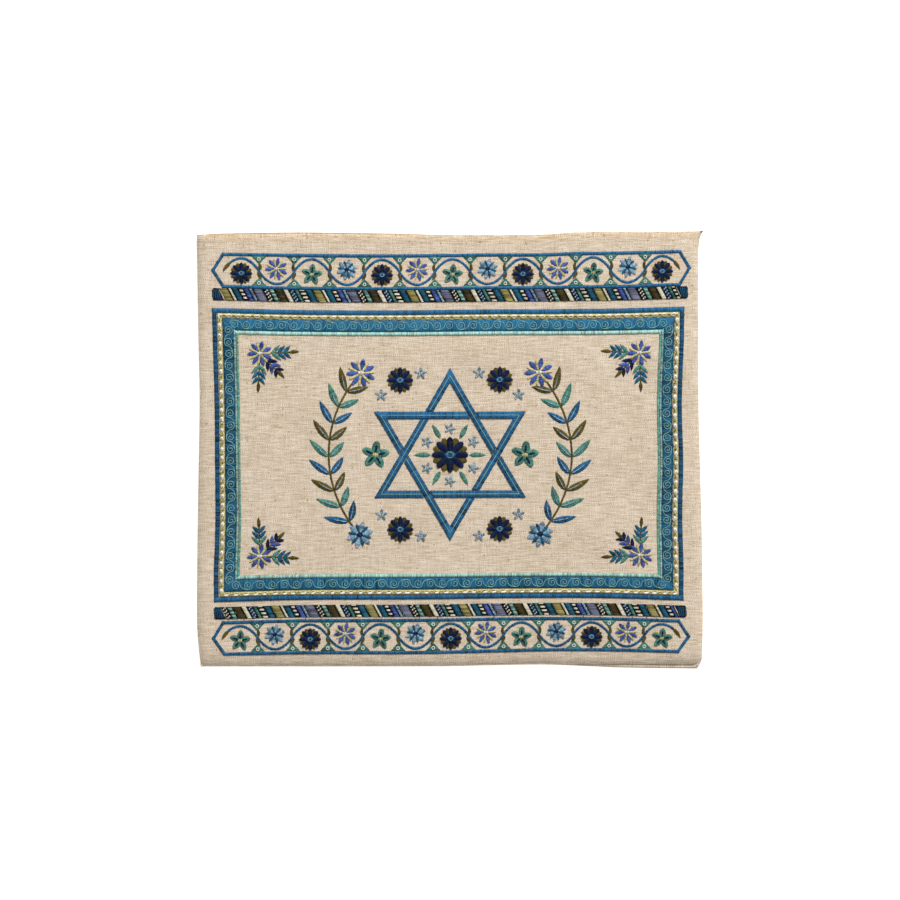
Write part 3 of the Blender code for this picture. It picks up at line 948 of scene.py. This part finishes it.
# Bar strips: slanting satin bars of many widths and colours, each parted from the next by a dark
# one. Some are sewn in two colours like a ladder, and some have small knots. A dark block ends each
# strip, and a dark thread edges it.
CREAM = rayon("cream_thread", (240, 226, 200), 0.3)
BLACK = rayon("black_thread", (14, 16, 28))
LILAC = rayon("lilac_thread", (120, 124, 148))
OCHRE = rayon("ochre_thread", (164, 154, 92))
BROWN = rayon("brown_thread", (74, 64, 26))
STRIP_HALF, STRIP_RISE, BAR_LEAN = 2.75, 0.6, 1.45
BAR_GAP, BAR_OVERLAP, GAP_OVERLAP = 0.5, 0.25, 0.1
END_BLOCK, END_CORNER = 5.5, 0.9
EDGE_RADIUS, EDGE_OUTWARD = 0.22, 0.12
BARS = (
    # width in mm and colour, then for some a second colour and what is sewn in it
    (4.2, OCHRE),
    (1.2, CREAM),
    (2.8, SEA),
    (2.0, BLACK, CREAM, "ladder"),
    (2.4, PERIWINKLE),
    (1.3, LIGHT_BLUE),
    (4.6, LILAC),
    (2.6, BLACK, CREAM, "knots"),
    (2.2, TEAL, MINT, "ladder"),
    (3.8, BROWN),
    (2.4, CREAM),
    (2.4, NAVY, LIGHT_BLUE, "knots"),
    (1.6, TEAL),
    (2.8, CREAM, BLACK, "ladder"),
    (3.0, SEA),
)
BAR_STRIPS = (
    # name, middle, left and right end, its first bar
    ("upper", 78.0, -119.6, 120.7, 0),
    ("lower", -81.8, -118.4, 118.6, 7),
)
ACROSS_STRIP = np.linspace(-1, 1, round(2 * STRIP_HALF / THREAD))


def slant(place, height):
    """A place along a strip, moved by the slant of the bars at that height, from -1 to 1."""
    return place - BAR_LEAN * height


def bar(work, start, end, level, finish, base=0.0, second=None):
    """One bar of a strip from side to side, with its threads level and its sides slanting."""
    left, right = (np.c_[slant(x, ACROSS_STRIP), level] for x in (start, end))
    first = (np.arange(len(level)) // 2 % 2 == 0) | (second is None)
    for rows, thread in ((first, finish), (~first, second)):
        if rows.any():
            work.satin(left[rows], right[rows], thread, STRIP_RISE, base)


def knots(work, start, width, middle, finish):
    """Two columns of four small knots on a bar."""
    for row in range(4):
        for column in range(2):
            height = -0.78 + 0.52 * row + 0.26 * (column - 0.5)
            spot = slant(start + width * (0.28 + 0.44 * column), height), middle + STRIP_HALF * height
            disc(work, spot, 0.45, finish, 0.4, 0.6)


for seed, (name, middle, left, right, k) in enumerate(BAR_STRIPS, 9):
    work = Stitching(seed)
    level = middle + STRIP_HALF * ACROSS_STRIP
    at = left + END_BLOCK
    while at < right - END_BLOCK - 1:
        width, finish, second, kind = (*BARS[k % len(BARS)], None, None)[:4]
        end = min(at + width, right - END_BLOCK - BAR_GAP)
        rungs = second if kind == "ladder" else None
        bar(work, at - BAR_OVERLAP, end + BAR_OVERLAP, level, finish, second=rungs)
        bar(work, end - GAP_OVERLAP, end + BAR_GAP + GAP_OVERLAP, level, BLACK, 0.12)
        if kind == "knots":
            knots(work, at, width, middle, second)
        at, k = end + BAR_GAP, k + 1
    corner = END_CORNER * np.clip((np.abs(ACROSS_STRIP) - 0.7) / 0.3, 0, 1) ** 2
    for outer, toward in ((left, 1), (right, -1)):
        inner = slant(outer + toward * END_BLOCK, ACROSS_STRIP)
        edges = [np.c_[x, level] for x in (outer + toward * corner, inner)]
        work.satin(*edges[::toward], NAVY, STRIP_RISE)
        for row in range(4):
            place = outer + toward * (1.1 + 1.0 * row) - BAR_LEAN * 0.12 * row * ACROSS_STRIP
            path = raised(np.c_[place, level], 0.62)
            work.tube(path[1:-1], 0.2, SEA, 5)
    for side in (1, -1):
        f = np.linspace(left + 1, right - 1, 300)
        edge = middle + side * (STRIP_HALF + EDGE_OUTWARD + 0.06 * np.sin(f * 1.7))
        path = np.c_[f, edge, 0.1 + 0.1 * np.sin(f * 5)]
        work.tube(path, EDGE_RADIUS, BLACK, 5)
    bars = work.make(name + "_bars")
    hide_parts(name + "_bar_strip")


# Star in the field: two triangles in wide blue satin, each passing over and under the other in
# turn, with a pale thread along their middle, round a flower with leaves and small flowers.
FIELD = np.array([0.0, -2.5])
STAR_REACH, STAR_WIDTH, STAR_RISE = 44, 3.8, 0.95
SIDE = STAR_REACH * math.sqrt(3)
CROSSING = SIDE * 2 / 3 - STAR_WIDTH / 2 / math.sqrt(3)  # from a side's start to where it dips
CLEAR = STAR_WIDTH / math.sqrt(3) + 0.3  # how far from there it shows again
work = Stitching(11)
for turn in (pi / 2, -pi / 2):
    corners = [FIELD + STAR_REACH * facing(turn - k * 2 * pi / 3) for k in range(3)]
    for i, (left, right) in enumerate(border_sides(corners, 0, STAR_WIDTH)):
        middle = (left + right) / 2
        place = (middle - corners[i]) @ (corners[(i + 1) % 3] - corners[i]) / SIDE
        clear = (np.abs(place - CROSSING) - CLEAR) * math.sqrt(3) / STAR_WIDTH
        length = np.clip(clear + 0.5, 0, 1)[:, None]
        for part, shorter in ((place < CROSSING, left), (place > CROSSING, right)):
            part = part & (length[:, 0] > 0.12)
            shorter[part] += ((right + left - 2 * shorter) * (1 - length))[part]
            work.satin(left[part], right[part], BLUE, STAR_RISE, arch=FLAT_ARCH)
            along = middle[part & (length[:, 0] > 0.6) & (place > 2.5) & (place < SIDE - 2.5)]
            along = resample(along, np.linspace(0, 1, 30))
            work.tube(raised(along, STAR_RISE + 0.04), 0.2, PALE, 5)
flower(work, "dark", FIELD, 9)
for k in range(6):
    angle = k * pi / 3
    leaf(work, FIELD + facing(angle) * 10, angle, 7.5, 3.0, TEAL, 0)
    small_flower(work, FIELD + facing(angle + pi / 6) * 13.4, 2.7, 1.7)
star = work.make("star_stitching")


# Sprays on both sides of the star: a curved stem with leaves in pairs, and flowers at its ends and
# in the gaps between the star's points, in the same threads as the bands.
SPRAY_REACH, SPRAY_HALF, STEM_WIDTH = 61, 38, 1.2  # half is the angle from the middle to an end
LEAF_PAIRS, FIRST_PAIR, PAIR_PITCH = 9, -34, 8.2  # angles in degrees
work = Stitching(12)


def on_spray(side, degrees, reach=SPRAY_REACH):
    """A place on the left or right spray, by its angle above the middle of the field."""
    angle = math.radians(degrees)
    return FIELD + np.array([side * reach * math.cos(angle), reach * math.sin(angle)])


for side in (-1, 1):
    stem = np.array([on_spray(side, angle) for angle in np.linspace(-SPRAY_HALF, SPRAY_HALF, 80)])
    work.stroke(stem, STEM_WIDTH, OLIVE, 0.5)
    for k in range(LEAF_PAIRS):
        degrees = FIRST_PAIR + PAIR_PITCH * k
        finish = (BLUE, TEAL, OLIVE)[k % 3]
        for outward in (1, -1):
            lean = math.radians(degrees) + pi / 2 - outward * 0.9
            way = lean if side > 0 else pi - lean
            root, bend = on_spray(side, degrees), 0.12 * outward * side
            length = 11 + outward
            leaf(work, root + facing(way) * 0.8, way, length, 4.2, finish, bend)
            leaf(work, root + facing(way) * 1.6, way, 7, 0.6, LIGHT_BLUE, bend, 0.5, 0.6)
    flower(work, "pale", on_spray(side, -42), 7)
    flower(work, "star", on_spray(side, 43), 7)
    flower(work, "teal", on_spray(side, 0, 37.5), 7.2)
    for up in (-1, 1):
        flower(work, "dark", FIELD + (side * 25, up * 38), 6.4)
        for x, y in ((14.6, 41.5), (34.5, 30.5)):
            small_flower(work, FIELD + (side * x, up * y), 2.9, 1.8, 0.3, 0.85)
sprays = work.make("field_sprays")


# Corner sprays of the field: in each corner a flower, with three leafy sprigs that spread from it
# towards the middle, filled with satin stitches in rayon thread.
SPRIGS = (
    # turn from the middle one, length, leaf length and width, colours of its leaves
    (-0.85, 15.5, 5.4, 2.3, (TEAL, BLUE, SEA)),
    (0.0, 13.0, 5.0, 2.4, (NAVY, PERIWINKLE, NAVY)),
    (0.85, 15.5, 5.4, 2.3, (TEAL, BLUE, SEA)),
)
work = Stitching(13)
for x, y in ((-1, 1), (1, 1), (1, -1), (-1, -1)):
    spot = np.array([x * 95.3, 48.6 if y > 0 else -53.7])
    middle_way = math.atan2(-y, -x)
    for turn, length, leaf_length, leaf_width, colours in SPRIGS:
        way = middle_way + turn
        work.stroke(spot + facing(way) * np.linspace(3, length, 30)[:, None], 0.9, OLIVE, 0.4)
        for k in range(3):
            root = spot + facing(way) * (length * 0.4 + 2.9 * k)
            for lean in (0.75, -0.75):
                leaf(work, root, way + lean, leaf_length - 0.5 * k, leaf_width, colours[k], 0)
        leaf(work, spot + facing(way) * (length - 0.8), way, 4.8, 2.2, OLIVE, 0)
    flower(work, "star", spot, 6)
corner_sprays = work.make("corner_sprays")


# Thread ends and flecks: short jumps of brown thread that the machine left between the lower strip and
# its band, stray fibres caught in the linen, and a short dark nib at a corner of the mouth.
JUMPS = (
    # x, lean
    (-103, 0.3), (-72, -0.2), (-15.5, 0.5), (-6, -0.3), (22, 0.2),
    (67, -0.6), (75, 0.2), (91, 0.4), (98.5, -0.2),
)
JUMP_TOP, JUMP_LENGTH = -84.4, 2.2
FLECKS = (
    # x, y, length, angle, colour
    (68, 45.6, 1.4, 0.5, rayon("red_fibre", (176, 60, 44))),
    (-74, -103.2, 1.6, 0.1, rayon("orange_fibre", (206, 128, 70))),
)
work = Stitching(14)
for x, lean in JUMPS:
    f = np.linspace(0, 1, 8)
    across, along = x + lean * f + 0.15 * np.sin(f * 9), JUMP_TOP - JUMP_LENGTH * f
    path = np.c_[across, along, 0.35 + 0.35 * np.abs(f - 0.5)]
    work.tube(path, 0.16, BROWN, 5)
for x, y, length, angle, finish in FLECKS:
    f = np.linspace(-0.5, 0.5, 6)
    across, along = x + length * f * math.cos(angle), y + length * f * math.sin(angle) + 0.2 * f * f
    work.tube(raised(np.c_[across, along], 0.08), 0.14, finish, 5)
f = np.linspace(0, 1, 6)
nib = np.c_[125.4 + 0.8 * f, 107.5 + 0.6 * f, 0.25 + 0.1 * f]
work.tube(nib, 0.3, BLACK)
thread_ends = work.make("thread_ends")


sizes = {"cad": cad_box, "visual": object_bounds()}
sizes = {key: [[float(n) for n in corner] for corner in box] for key, box in sizes.items()}
